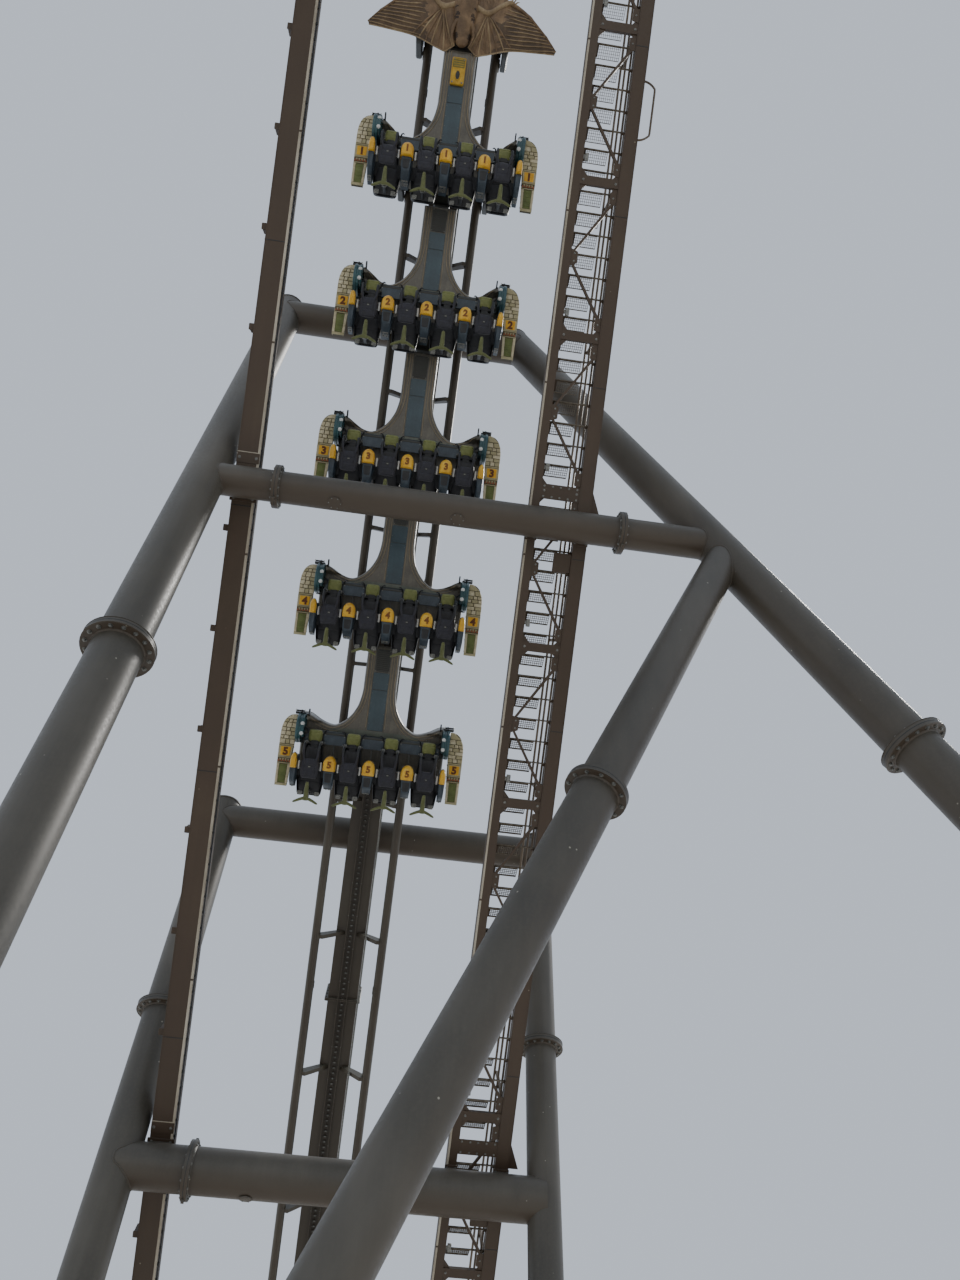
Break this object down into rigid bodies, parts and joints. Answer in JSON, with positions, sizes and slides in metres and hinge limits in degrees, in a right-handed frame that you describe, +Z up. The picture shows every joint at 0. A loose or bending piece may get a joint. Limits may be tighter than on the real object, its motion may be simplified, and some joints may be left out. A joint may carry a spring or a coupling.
{
  "type": "suspended flying roller coaster lift section with train",
  "caption": "Sloping lift section of a suspended flying coaster: tube bents, spine track, stair, service beam and a train with tilting seat rows and a winged figurehead.",
  "frame": {"origin": "centre of the whole object's footprint box, on the ground", "axes": "+X horizontal and uphill along the lift, +Y towards the stair side, +Z up"},
  "size_m": [28.9286, 16.43, 27.1533],
  "materials": {
    "structure_paint": "satin dark grey-olive paint, dusty, slightly rust-brown underneath",
    "track_paint": "satin grey-brown paint, worn bright on the running faces",
    "chain_steel": "greased chain steel",
    "conduit_steel": "galvanised conduit",
    "walkway_paint": "satin dark brown paint, weathered",
    "tread_steel": "weathered bar grating",
    "handrail_paint": "satin brown paint",
    "fairing_grey": "moulded composite in brownish grey with darker streaks",
    "pod_panel": "moulded composite in sandy stone colours with carved relief",
    "post_teal": "dark teal enamel",
    "seat_shell": "black moulded seat shell",
    "restraint_pad": "black padded vest with fine grain",
    "carrier_paint": "dark blue-grey enamel",
    "wheel_tyre": "dark polyurethane tread",
    "plate_yellow": "yellow enamel",
    "figurehead_skin": "painted sculpted composite, brown hide"
  },
  "bodies": {
    "structure": {"beam_pegs": "walkway_paint", "beam_seats": "structure_paint", "chain_trough": "track_paint", "diagonal_braces": "structure_paint", "left_column_1": "structure_paint", "left_column_2": "structure_paint", "left_column_3": "structure_paint", "left_column_4": "structure_paint", "left_rail": "track_paint", "lift_chain": "chain_steel", "lower_beams": "structure_paint", "rail_ties": "track_paint", "raked_leg_1": "structure_paint", "raked_leg_2": "structure_paint", "right_column_3": "structure_paint", "right_column_4": "structure_paint", "right_rail": "track_paint", "service_beam": "walkway_paint", "side_conduit": "conduit_steel", "spine_saddles": "structure_paint", "stair_bracing": "walkway_paint", "stair_handrail": "handrail_paint", "stair_inner_stringer": "walkway_paint", "stair_outer_stringer": "walkway_paint", "stair_treads": "tread_steel", "top_beams": "structure_paint", "track_spine": "track_paint"},
    "train": {"coupler_plate": "plate_yellow", "figurehead": "figurehead_skin", "lead_frame": "carrier_paint", "pivot_posts": "post_teal", "row_1_fairing": "fairing_grey", "row_2_fairing": "fairing_grey", "row_3_fairing": "fairing_grey", "row_4_fairing": "fairing_grey", "row_5_fairing": "fairing_grey", "side_pods": "pod_panel", "train_wheels": "wheel_tyre", "wheel_carriers": "carrier_paint"},
    "row_1_seat_unit": {"row_1_seats": "seat_shell"},
    "row_1_restraint_set": {"row_1_restraints": "restraint_pad"},
    "row_2_seat_unit": {"row_2_seats": "seat_shell"},
    "row_2_restraint_set": {"row_2_restraints": "restraint_pad"},
    "row_3_seat_unit": {"row_3_seats": "seat_shell"},
    "row_3_restraint_set": {"row_3_restraints": "restraint_pad"},
    "row_4_seat_unit": {"row_4_seats": "seat_shell"},
    "row_4_restraint_set": {"row_4_restraints": "restraint_pad"},
    "row_5_seat_unit": {"row_5_seats": "seat_shell"},
    "row_5_restraint_set": {"row_5_restraints": "restraint_pad"}
  },
  "joints": [
    {"name": "train_travel", "type": "slide", "parent": "structure", "child": "train", "axis": [0.7771, 0, 0.6293], "range_m": [-13.5, 3]},
    {"name": "seat_tilt_1", "type": "hinge", "parent": "train", "child": "row_1_seat_unit", "pos_m": [8.17361, -4.885, 20.22263], "axis": [0, -1, 0], "range_deg": [0, 85]},
    {"name": "restraint_open_1", "type": "hinge", "parent": "row_1_seat_unit", "child": "row_1_restraint_set", "pos_m": [8.19238, -4.885, 19.95474], "axis": [0, -1, 0], "range_deg": [0, 52]},
    {"name": "seat_tilt_2", "type": "hinge", "parent": "train", "child": "row_2_seat_unit", "pos_m": [6.1336, -4.885, 18.57066], "axis": [0, -1, 0], "range_deg": [0, 85]},
    {"name": "restraint_open_2", "type": "hinge", "parent": "row_2_seat_unit", "child": "row_2_restraint_set", "pos_m": [6.15237, -4.885, 18.30277], "axis": [0, -1, 0], "range_deg": [0, 52]},
    {"name": "seat_tilt_3", "type": "hinge", "parent": "train", "child": "row_3_seat_unit", "pos_m": [4.0936, -4.885, 16.91869], "axis": [0, -1, 0], "range_deg": [0, 85]},
    {"name": "restraint_open_3", "type": "hinge", "parent": "row_3_seat_unit", "child": "row_3_restraint_set", "pos_m": [4.11237, -4.885, 16.6508], "axis": [0, -1, 0], "range_deg": [0, 52]},
    {"name": "seat_tilt_4", "type": "hinge", "parent": "train", "child": "row_4_seat_unit", "pos_m": [2.05359, -4.885, 15.26673], "axis": [0, -1, 0], "range_deg": [0, 85]},
    {"name": "restraint_open_4", "type": "hinge", "parent": "row_4_seat_unit", "child": "row_4_restraint_set", "pos_m": [2.07236, -4.885, 14.99884], "axis": [0, -1, 0], "range_deg": [0, 52]},
    {"name": "seat_tilt_5", "type": "hinge", "parent": "train", "child": "row_5_seat_unit", "pos_m": [0.01358, -4.885, 13.61476], "axis": [0, -1, 0], "range_deg": [0, 85]},
    {"name": "restraint_open_5", "type": "hinge", "parent": "row_5_seat_unit", "child": "row_5_restraint_set", "pos_m": [0.03235, -4.885, 13.34687], "axis": [0, -1, 0], "range_deg": [0, 52]}
  ],
  "couplings": [
    {"joint": "seat_tilt_2", "follows": "seat_tilt_1", "ratio": 1},
    {"joint": "restraint_open_2", "follows": "restraint_open_1", "ratio": 1},
    {"joint": "seat_tilt_3", "follows": "seat_tilt_1", "ratio": 1},
    {"joint": "restraint_open_3", "follows": "restraint_open_1", "ratio": 1},
    {"joint": "seat_tilt_4", "follows": "seat_tilt_1", "ratio": 1},
    {"joint": "restraint_open_4", "follows": "restraint_open_1", "ratio": 1},
    {"joint": "seat_tilt_5", "follows": "seat_tilt_1", "ratio": 1},
    {"joint": "restraint_open_5", "follows": "restraint_open_1", "ratio": 1}
  ]
}
